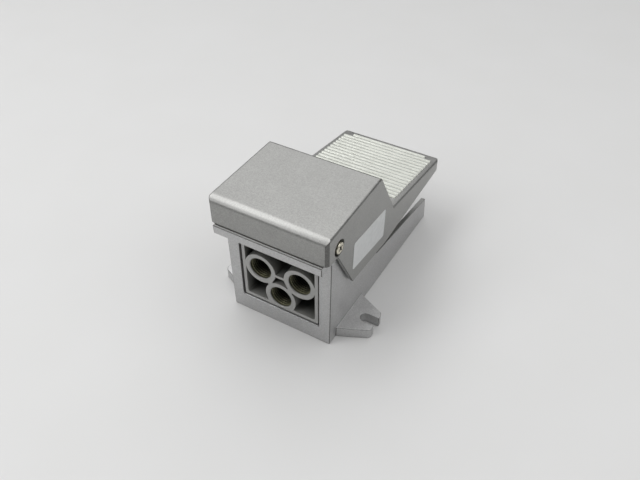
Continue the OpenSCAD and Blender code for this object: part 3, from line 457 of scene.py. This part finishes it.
# base: floor, rails, cheeks, front frame and ears
baseSetup = {
    "edge": 0.35, "segments": 3,       # mm; rounding of the casting's edges
    "lowEdge": 15,                     # mm; below this an upward face keeps the plain base paint, without painted shade
    "ledgeMiddle": 60.6,               # mm; height of the middle of the front ledge
    "ledgeHalf": 1.2,                  # mm above and below it, inside the straight part of its end edges
    "ledgeEnd": 30,                    # mm from the middle plane, a little inside the ledge's ends
    "endDepth": 0.7, "lipDepth": 1,    # mm behind the ledge's front, for its end corners and its upper lip
    "railSide": 25,                    # mm from the middle plane, a little inside the rails
    # parts of a face's normal, from level to tilted: ledge top, rail tops, low upper edges, lip
    "ledgeTop": 0.9, "railTop": 0.7, "lowTop": 0.3, "lipTop": 0.15,
}
baseCasting = startCopy("base", "baseCasting")
bpy.ops.object.mode_set(mode="OBJECT")
fullSlot, baseEdgeShadeSlot, topShadeSlot = 0, 1, 2
for finish in (basePaint, edgeShadePaint, pedalPaint):
    baseCasting.data.materials.append(finish)
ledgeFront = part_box("base")[0].y


def atLedgeEnd(point):
    # the small rounded corners at the ends of the front ledge, above and below its upright end edge
    atFront = point.y < ledgeFront + baseSetup["endDepth"] * mm
    atEnd = abs(point.x) > baseSetup["ledgeEnd"] * mm
    return atFront and atEnd and abs(point.z - baseSetup["ledgeMiddle"] * mm) > baseSetup["ledgeHalf"] * mm


# the rounded edges take the darker paint, painted shade along them and along the foot
roundEdges(baseCasting, baseSetup["edge"], baseSetup["segments"], slot=baseEdgeShadeSlot, leaveOut=atLedgeEnd)
smoothPiece(baseCasting)
for face in baseCasting.data.polygons:
    place = face.center
    level = face.normal.z
    isLow = place.z < baseSetup["lowEdge"] * mm
    onRail = place.y > 0 and abs(place.x) > baseSetup["railSide"] * mm
    # painted shade: the ledge top under the hood and the rail tops under the tread take the darker pedal paint,
    # the ledge's lip the darker edge paint; upward faces low down keep the plain paint
    if level > baseSetup["lowTop"] and isLow:
        face.material_index = fullSlot
    elif level > baseSetup["ledgeTop"] and place.y < pivot.y and not isLow:
        face.material_index = topShadeSlot
    elif level > baseSetup["lipTop"] and place.y < ledgeFront + baseSetup["lipDepth"] * mm:
        face.material_index = baseEdgeShadeSlot
    elif level > baseSetup["railTop"] and onRail:
        face.material_index = topShadeSlot
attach(baseCasting, "base")
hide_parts("base")
print("base casting:", len(baseCasting.data.polygons), "faces")

# valve block: a casting with a milled front and three tapped ports
blockSetup = {
    "edge": 0.25, "segments": 2,       # mm; rounding of the casting's edges
    "wallReach": 0.05,                 # mm; how near a point has to lie to count as on a port's wall
    "threadRoot": 6.5,                 # mm; radius of the thread's root, outside the tapping bore
    "threadCrest": 5.95,               # mm; radius of the crests
    "pitch": 1.337, "turns": 8,        # pitch in mm, as on a quarter-inch pipe thread
    "stepsPerTurn": 40,
    "footWidth": 1.15,                 # mm; width of a thread ridge at its root
    "footBite": 0.08,                  # mm; how far it goes into the wall
    "crestShare": 0.3,                 # width of its crest as a share of its foot
    "tappedReach": 0.15, "tappedEnds": 0.3,      # mm past the thread's root and ends that look tapped
    "milledDepth": 0.3, "milledFacing": 0.6,     # mm behind the front; part of the normal that looks milled
    "webWidth": 3.4, "webLength": 1.7, "webDepth": 12.6,       # mm; webs between the bosses
    "webBack": 0.02, "webFacing": 0.9,           # mm behind the front; part of the normal that looks milled
}
ports = [mounts[name] for name in ("port_a", "port_b", "port_p")]
portRadius = ports[0]["dims"]["r_mm"] * mm
portLength = ports[0]["dims"]["length_mm"] * mm
threadRoot = blockSetup["threadRoot"] * mm


def fromAxis(point, port):
    # distance from a port's axis, and depth from the front end of its wall
    place = Vector(port["pos_m"])
    return math.hypot(point.x - place.x, point.z - place.z), point.y - place.y + portLength / 2


valveBlock = startCopy("valve_body", "valveBlock")
castSlot, milledSlot, tappedSlot = 0, 1, 2
widen = threadRoot / portRadius
nearWall = blockSetup["wallReach"] * mm
for port in ports:
    bpy.ops.mesh.select_mode(type="VERT")
    bpy.ops.mesh.select_all(action="DESELECT")
    bpy.ops.object.mode_set(mode="OBJECT")
    for vertex in valveBlock.data.vertices:
        away, depth = fromAxis(vertex.co, port)
        onWall = abs(away - portRadius) < nearWall
        vertex.select = onWall and -nearWall < depth < portLength + nearWall
    bpy.ops.object.mode_set(mode="EDIT")
    bpy.ops.transform.resize(value=(widen, 1, widen), center_override=port["pos_m"])
bpy.ops.mesh.select_all(action="DESELECT")
bpy.ops.object.mode_set(mode="OBJECT")
for finish in (blockAlloy, milledFace, tappedWall):
    valveBlock.data.materials.append(finish)
roundEdges(valveBlock, blockSetup["edge"], blockSetup["segments"])
smoothPiece(valveBlock)
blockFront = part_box("valve_body")[0].y
milledEnd = blockFront + blockSetup["milledDepth"] * mm
tappedEdge = threadRoot + blockSetup["tappedReach"] * mm
tappedEnds = blockSetup["tappedEnds"] * mm
for face in valveBlock.data.polygons:
    if face.center.y < milledEnd and face.normal.y < -blockSetup["milledFacing"]:
        face.material_index = milledSlot
    for port in ports:
        depth = fromAxis(face.center, port)[1]
        reach = max(fromAxis(valveBlock.data.vertices[i].co, port)[0] for i in face.vertices)
        if reach < tappedEdge and -tappedEnds < depth < portLength + tappedEnds:
            face.material_index = tappedSlot
print("valve block:", len(valveBlock.data.polygons), "faces")

# one thread ridge is drawn as a section and screwed along its port, then copied to the other two
ridgeStart = Vector(ports[0]["pos_m"]) - Vector((0, portLength / 2 - blockSetup["footWidth"] / 2 * mm, 0))
ridgeHeight = threadRoot + blockSetup["footBite"] * mm - blockSetup["threadCrest"] * mm
bpy.ops.object.select_all(action="DESELECT")
bpy.ops.mesh.primitive_plane_add(size=1, location=ridgeStart)
ridge = bpy.context.object
ridge.name = "threadRidge"
bpy.ops.object.mode_set(mode="EDIT")
bpy.ops.transform.resize(value=(ridgeHeight, blockSetup["footWidth"] * mm, 1))
bpy.ops.mesh.select_all(action="DESELECT")
bpy.ops.object.mode_set(mode="OBJECT")
for vertex in ridge.data.vertices:
    vertex.select = vertex.co.x < 0
bpy.ops.object.mode_set(mode="EDIT")
bpy.ops.transform.resize(value=(1, blockSetup["crestShare"], 1))
bpy.ops.mesh.select_all(action="SELECT")
bpy.ops.transform.translate(value=(blockSetup["threadCrest"] * mm + ridgeHeight / 2, 0, 0))
bpy.ops.mesh.delete(type="ONLY_FACE")
bpy.ops.object.mode_set(mode="OBJECT")
helix = ridge.modifiers.new("threadHelix", "SCREW")
helix.axis = "Y"
helix.screw_offset = blockSetup["pitch"] * mm
helix.iterations = blockSetup["turns"]
helix.steps = blockSetup["stepsPerTurn"]
helix.render_steps = blockSetup["stepsPerTurn"]
bpy.ops.object.modifier_apply(modifier=helix.name)
bpy.ops.object.mode_set(mode="EDIT")
bpy.ops.mesh.select_all(action="SELECT")
bpy.ops.mesh.fill_holes(sides=4)
bpy.ops.mesh.select_all(action="SELECT")
bpy.ops.mesh.normals_make_consistent(inside=False)
bpy.ops.object.mode_set(mode="OBJECT")
ridge.data.materials.append(tappedWall)
additions = [ridge]
for port in ports[1:]:
    copied = ridge.copy()
    copied.data = ridge.data.copy()
    copied.location = ridge.location + Vector(port["pos_m"]) - Vector(ports[0]["pos_m"])
    scene.collection.objects.link(copied)
    additions.append(copied)

# a cast web joins the lower port's boss to each upper one
lower = Vector(ports[2]["pos_m"])
webDepth = blockSetup["webDepth"] * mm
webMiddle = blockFront + webDepth / 2 + blockSetup["webBack"] * mm
for port in ports[:2]:
    upper = Vector(port["pos_m"])
    along = upper - lower
    middle = (upper + lower) / 2
    bpy.ops.object.select_all(action="DESELECT")
    bpy.ops.mesh.primitive_cube_add(size=1, location=(middle.x, webMiddle, middle.z))
    web = bpy.context.object
    bpy.ops.object.mode_set(mode="EDIT")
    bpy.ops.transform.resize(value=(blockSetup["webWidth"] * mm, webDepth, blockSetup["webLength"] * mm))
    bpy.ops.object.mode_set(mode="OBJECT")
    web.rotation_euler.y = math.atan2(along.x, along.z)
    bpy.ops.object.transform_apply(location=True, rotation=True)
    web.data.materials.append(blockAlloy)
    web.data.materials.append(milledFace)
    for face in web.data.polygons:
        face.material_index = milledSlot if face.normal.y < -blockSetup["webFacing"] else castSlot
    additions.append(web)
bpy.ops.object.select_all(action="DESELECT")
for addition in additions:
    addition.select_set(True)
valveBlock.select_set(True)
bpy.context.view_layer.objects.active = valveBlock
bpy.ops.object.join()
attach(valveBlock, "base")
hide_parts("valve_body")
print("threads cut:", len(valveBlock.data.polygons), "faces")

# pivot screws: flat pan heads with a tapered cross recess, one at each end of the shaft
screwSetup = {
    "headRadius": 3.05, "headHeight": 2.3, "shankRadius": 2.0, "shankLength": 14.0,      # mm
    "sides": 64,                       # straight sides that make up a circle
    "proud": 0.1,                      # mm; how far the head stands out past the plain one
    "dome": 0.5, "domeSteps": 5,       # mm; how far the rounding of the head runs in from its rim
    "crossLength": 4.2, "crossWidth": 1.0, "crossDepth": 1.9,       # mm
    "crossFoot": 0.7,                  # the recess's size at its bottom, as a share
    "turn": 25,                        # degrees; how the screw happened to stop
    "outFacing": 0.75,                 # part of the normal; a face that looks outward, not into the recess
    "footFacing": 0.9,                 # part of the normal; the head's underside
    "rimReach": 0.01,                  # mm; how near a point has to lie to count as on the head's outer face
}
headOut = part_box("pivot_screws")[1].x + screwSetup["proud"] * mm
headMiddle = Vector((headOut - screwSetup["headHeight"] / 2 * mm, pivot.y, pivot.z))
bpy.ops.object.select_all(action="DESELECT")
bpy.ops.mesh.primitive_cylinder_add(
    vertices=screwSetup["sides"], radius=screwSetup["headRadius"] * mm, depth=screwSetup["headHeight"] * mm,
    location=headMiddle, rotation=(0, math.pi / 2, 0))
pivotScrews = bpy.context.object
pivotScrews.name = "pivotScrews"
bpy.ops.object.transform_apply(location=True, rotation=True)
for face in pivotScrews.data.polygons:
    face.select = face.normal.x < -screwSetup["footFacing"]
bpy.ops.object.mode_set(mode="EDIT")
bpy.ops.mesh.select_mode(type="FACE")
bpy.ops.mesh.inset(thickness=(screwSetup["headRadius"] - screwSetup["shankRadius"]) * mm)
shank = (-screwSetup["shankLength"] * mm, 0, 0)
bpy.ops.mesh.extrude_region_move(TRANSFORM_OT_translate={"value": shank})
bpy.ops.mesh.select_all(action="DESELECT")
bpy.ops.object.mode_set(mode="OBJECT")
for edge in pivotScrews.data.edges:
    ends = [pivotScrews.data.vertices[i].co for i in edge.vertices]
    edge.select = all(end.x > headOut - screwSetup["rimReach"] * mm for end in ends)
bpy.ops.object.mode_set(mode="EDIT")
bpy.ops.mesh.select_mode(type="EDGE")
bpy.ops.mesh.bevel(offset=screwSetup["dome"] * mm, segments=screwSetup["domeSteps"], affect="EDGES")
bpy.ops.object.mode_set(mode="OBJECT")
bars = []
for angle in (0, 90):
    bpy.ops.object.select_all(action="DESELECT")
    bpy.ops.mesh.primitive_cube_add(size=1, location=(headOut, pivot.y, pivot.z))
    bar = bpy.context.object
    bpy.ops.object.mode_set(mode="EDIT")
    bpy.ops.transform.resize(value=(2 * screwSetup["crossDepth"] * mm, screwSetup["crossLength"] * mm,
                                    screwSetup["crossWidth"] * mm))
    bpy.ops.mesh.select_all(action="DESELECT")
    bpy.ops.object.mode_set(mode="OBJECT")
    for vertex in bar.data.vertices:
        vertex.select = vertex.co.x < 0
    bpy.ops.object.mode_set(mode="EDIT")
    bpy.ops.mesh.select_mode(type="VERT")
    bpy.ops.transform.resize(value=(1, screwSetup["crossFoot"], screwSetup["crossFoot"]))
    bpy.ops.object.mode_set(mode="OBJECT")
    bar.rotation_euler.x = math.radians(angle + screwSetup["turn"])
    bpy.ops.object.transform_apply(location=True, rotation=True)
    bars.append(bar)
for bar in bars:
    recess = pivotScrews.modifiers.new("crossRecess", "BOOLEAN")
    recess.object = bar
    recess.operation = "DIFFERENCE"
    recess.solver = "EXACT"
    bpy.context.view_layer.objects.active = pivotScrews
    bpy.ops.object.modifier_apply(modifier=recess.name)
    bpy.data.objects.remove(bar)
pair = pivotScrews.modifiers.new("otherEnd", "MIRROR")
pair.use_axis = (True, False, False)
pair.use_mirror_merge = False
bpy.ops.object.modifier_apply(modifier=pair.name)
recessShadeSlot = 1
for finish in (zincSteel, recessShadeSteel):
    pivotScrews.data.materials.append(finish)
crossReach = screwSetup["crossLength"] / 2 * mm
headFoot = headOut - screwSetup["headHeight"] * mm
halfDeep = headOut - screwSetup["crossDepth"] / 2 * mm
# painted shade: the faces inside the cross recess take the dark steel
for face in pivotScrews.data.polygons:
    fromMiddle = abs(face.center.x)
    inside = math.hypot(face.center.y - pivot.y, face.center.z - pivot.z) < crossReach
    outward = face.normal.x * face.center.x > 0 and abs(face.normal.x) > screwSetup["outFacing"]
    if inside and fromMiddle > headFoot and (fromMiddle < halfDeep or not outward):
        face.material_index = recessShadeSlot
smoothPiece(pivotScrews)
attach(pivotScrews, "pedal")
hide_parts("pivot_screws")
print("pivot screws:", len(pivotScrews.data.polygons), "faces")

# springs: round wire with one close turn at each end
springSetup = {
    "return_spring": {"name": "returnSpring", "wire": 1.8, "turns": 9, "to": "pedal"},
    "spool_spring": {"name": "spoolSpring", "wire": 1.0, "turns": 5, "to": "spool"},
}
stepsPerTurn = 40
wireSmooth = 60       # degrees
for node, coil in springSetup.items():
    low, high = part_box(node)
    wire = coil["wire"] * mm
    turns = coil["turns"]
    middle = (low + high) / 2
    coilRadius = (high.x - low.x - wire) / 2
    openPitch = (high.z - low.z - 3 * wire) / (turns - 2)
    path = bpy.data.curves.new(coil["name"], "CURVE")
    path.dimensions = "3D"
    path.bevel_depth = wire / 2
    path.bevel_resolution = 3
    path.use_fill_caps = True
    line = path.splines.new("POLY")
    line.points.add(turns * stepsPerTurn)
    for i, point in enumerate(line.points):
        t = i / stepsPerTurn
        closed = min(t, 1) + max(t - turns + 1, 0)        # turns so far that lie close
        opened = min(max(t - 1, 0), turns - 2)            # turns so far that stand apart
        rise = low.z + wire / 2 + closed * wire + opened * openPitch
        angle = 2 * math.pi * t
        x = middle.x + coilRadius * math.cos(angle)
        y = middle.y + coilRadius * math.sin(angle)
        point.co = (x, y, rise, 1)
    spring = bpy.data.objects.new(coil["name"], path)
    scene.collection.objects.link(spring)
    bpy.ops.object.select_all(action="DESELECT")
    spring.select_set(True)
    bpy.context.view_layer.objects.active = spring
    bpy.ops.object.convert(target="MESH")
    spring = bpy.context.object
    spring.data.materials.clear()
    spring.data.materials.append(springWire)
    smoothPiece(spring, wireSmooth)
    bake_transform(spring)
    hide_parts(node)
    print(coil["name"] + ":", len(spring.data.polygons), "faces")

# a blank film patch on the pedal's right side
patchSetup = {
    "corners": ((-43.2, 59.1), (-8.1, 56.2), (-8.7, 38.1), (-43.9, 42.2)),       # mm; y and z
    "corner": 1.2, "cornerSteps": 4, "thickness": 0.12,       # mm
}
bpy.ops.object.select_all(action="DESELECT")
bpy.ops.mesh.primitive_plane_add(size=1, rotation=(0, math.pi / 2, 0))
filmPatch = bpy.context.object
filmPatch.name = "filmPatch"
bpy.ops.object.transform_apply(rotation=True)
order = [filmPatch.data.loops[i].vertex_index for i in filmPatch.data.polygons[0].loop_indices]
for index, (y, z) in zip(order, patchSetup["corners"]):
    filmPatch.data.vertices[index].co = (sideOut + mm, y * mm, z * mm)
bpy.ops.object.mode_set(mode="EDIT")
bpy.ops.mesh.select_all(action="SELECT")
bpy.ops.mesh.bevel(offset=patchSetup["corner"] * mm, segments=patchSetup["cornerSteps"], affect="VERTICES")
bpy.ops.object.mode_set(mode="OBJECT")
lay = filmPatch.modifiers.new("layOnSide", "SHRINKWRAP")
lay.target = pedalCasting
lay.wrap_method = "PROJECT"
lay.use_project_x = True
lay.use_negative_direction = True
lay.use_positive_direction = False
bpy.ops.object.modifier_apply(modifier=lay.name)
bpy.ops.object.mode_set(mode="EDIT")
bpy.ops.mesh.select_all(action="SELECT")
bpy.ops.mesh.normals_make_consistent(inside=False)
bpy.ops.object.mode_set(mode="OBJECT")
if filmPatch.data.polygons[0].normal.x < 0:
    filmPatch.data.flip_normals()
film = filmPatch.modifiers.new("filmThickness", "SOLIDIFY")
film.thickness = patchSetup["thickness"] * mm
film.offset = 1
bpy.ops.object.modifier_apply(modifier=film.name)
filmPatch.data.materials.append(labelFilm)
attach(filmPatch, "pedal")
print("film patch:", len(filmPatch.data.polygons), "faces")

# floor and light: a pale paper floor, a dim horizon under a brighter ceiling, a bright wall behind to the
# left, two soft strips at the left and a soft fill from the right
floorSetup = {
    "size": 6,                                # m
    "dark": "#d5d5d4", "bright": "#d9d9d9", "cloud": 60, "roughness": 0.75,       # cloud in mm
}
bpy.ops.object.select_all(action="DESELECT")
bpy.ops.mesh.primitive_plane_add(size=floorSetup["size"], location=(0, 0, 0))
floor = bpy.context.object
floor.name = "paleFloor"
floorPaper = newMaterial("palePaperFloor")
floorPlace = addNode(floorPaper, "ShaderNodeTexCoord").outputs["Object"]
floorCloud = addNode(floorPaper, "ShaderNodeTexNoise", {
    "Vector": floorPlace, "Scale": perMm(floorSetup["cloud"]), "Detail": 2.0})
floorTone = addNode(floorPaper, "ShaderNodeValToRGB", {"Fac": floorCloud.outputs["Fac"]})
floorTone.color_ramp.elements[0].color = linear(floorSetup["dark"])
floorTone.color_ramp.elements[1].color = linear(floorSetup["bright"])
floorShader = addNode(floorPaper, "ShaderNodeBsdfPrincipled", {
    "Base Color": floorTone.outputs["Color"], "Roughness": floorSetup["roughness"]})
addNode(floorPaper, "ShaderNodeOutputMaterial", {"Surface": floorShader.outputs[0]})
floor.data.materials.append(floorPaper)

roomSetup = {
    "tint": "#f6f6f6",
    "horizon": 0.10, "ceiling": 0.50, "curve": 2.5,
    "wall": 1.55, "wallToward": (-0.48, 0.64, 0.60), "wallCurve": 3.0,
    "wallFoot": 0.33, "wallFull": 0.52,       # sine of the height where the wall begins and where it is full
}
world = bpy.data.worlds.new("softRoom")
scene.world = world
world.use_nodes = True
world.node_tree.nodes.clear()
skyPlace = addNode(world, "ShaderNodeTexCoord").outputs["Generated"]
skyUp = addNode(world, "ShaderNodeSeparateXYZ", {"Vector": skyPlace}).outputs["Z"]
skyRise = addNode(world, "ShaderNodeMath", {
    0: skyUp, 1: roomSetup["curve"]}, operation="POWER", use_clamp=True)
skyLevel = addNode(world, "ShaderNodeMapRange", {
    "Value": skyRise.outputs[0], "To Min": roomSetup["horizon"], "To Max": roomSetup["ceiling"]})
wallFacing = addNode(world, "ShaderNodeVectorMath", {
    0: skyPlace, 1: roomSetup["wallToward"]}, operation="DOT_PRODUCT")
wallAhead = addNode(world, "ShaderNodeMath", {
    0: wallFacing.outputs["Value"], 1: 0.0}, operation="MAXIMUM")
wallFade = addNode(world, "ShaderNodeMath", {
    0: wallAhead.outputs[0], 1: roomSetup["wallCurve"]}, operation="POWER")
wallRise = addNode(world, "ShaderNodeMapRange", {
    "Value": skyUp, "From Min": roomSetup["wallFoot"], "From Max": roomSetup["wallFull"],
    "To Max": roomSetup["wall"]}, interpolation_type="SMOOTHSTEP")
roomLevel = addNode(world, "ShaderNodeMath", {
    0: wallFade.outputs[0], 1: wallRise.outputs["Result"], 2: skyLevel.outputs["Result"]},
    operation="MULTIPLY_ADD")
sky = addNode(world, "ShaderNodeBackground", {
    "Color": linear(roomSetup["tint"]), "Strength": roomLevel.outputs[0]})
addNode(world, "ShaderNodeOutputWorld", {"Surface": sky.outputs[0]})

# places and sizes in m, power in W
studioLights = {
    "ceilingStrip": {
        "place": (-0.57, -0.25, 1.06), "aim": (-0.57, 0, 0.04), "width": 0.54, "height": 0.95, "power": 4.3},
    "frontStrip": {
        "place": (-0.57, -0.80, 0.70), "aim": (-0.57, 0, 0.04), "width": 0.42, "height": 0.80, "power": 2.7},
    "sideFill": {
        "place": (0.80, 0.05, 1.05), "aim": (0, 0, 0.04), "width": 1.10, "height": 1.10, "power": 5.4},
}
for name, lamp in studioLights.items():
    bpy.ops.object.light_add(type="AREA", location=lamp["place"])
    light = bpy.context.object
    light.name = name
    light.data.shape = "RECTANGLE"
    light.data.size = lamp["width"]
    light.data.size_y = lamp["height"]
    light.data.energy = lamp["power"]
    beam = Vector(lamp["aim"]) - Vector(lamp["place"])
    light.rotation_euler = beam.to_track_quat("-Z", "Y").to_euler()
print("floor and light set")
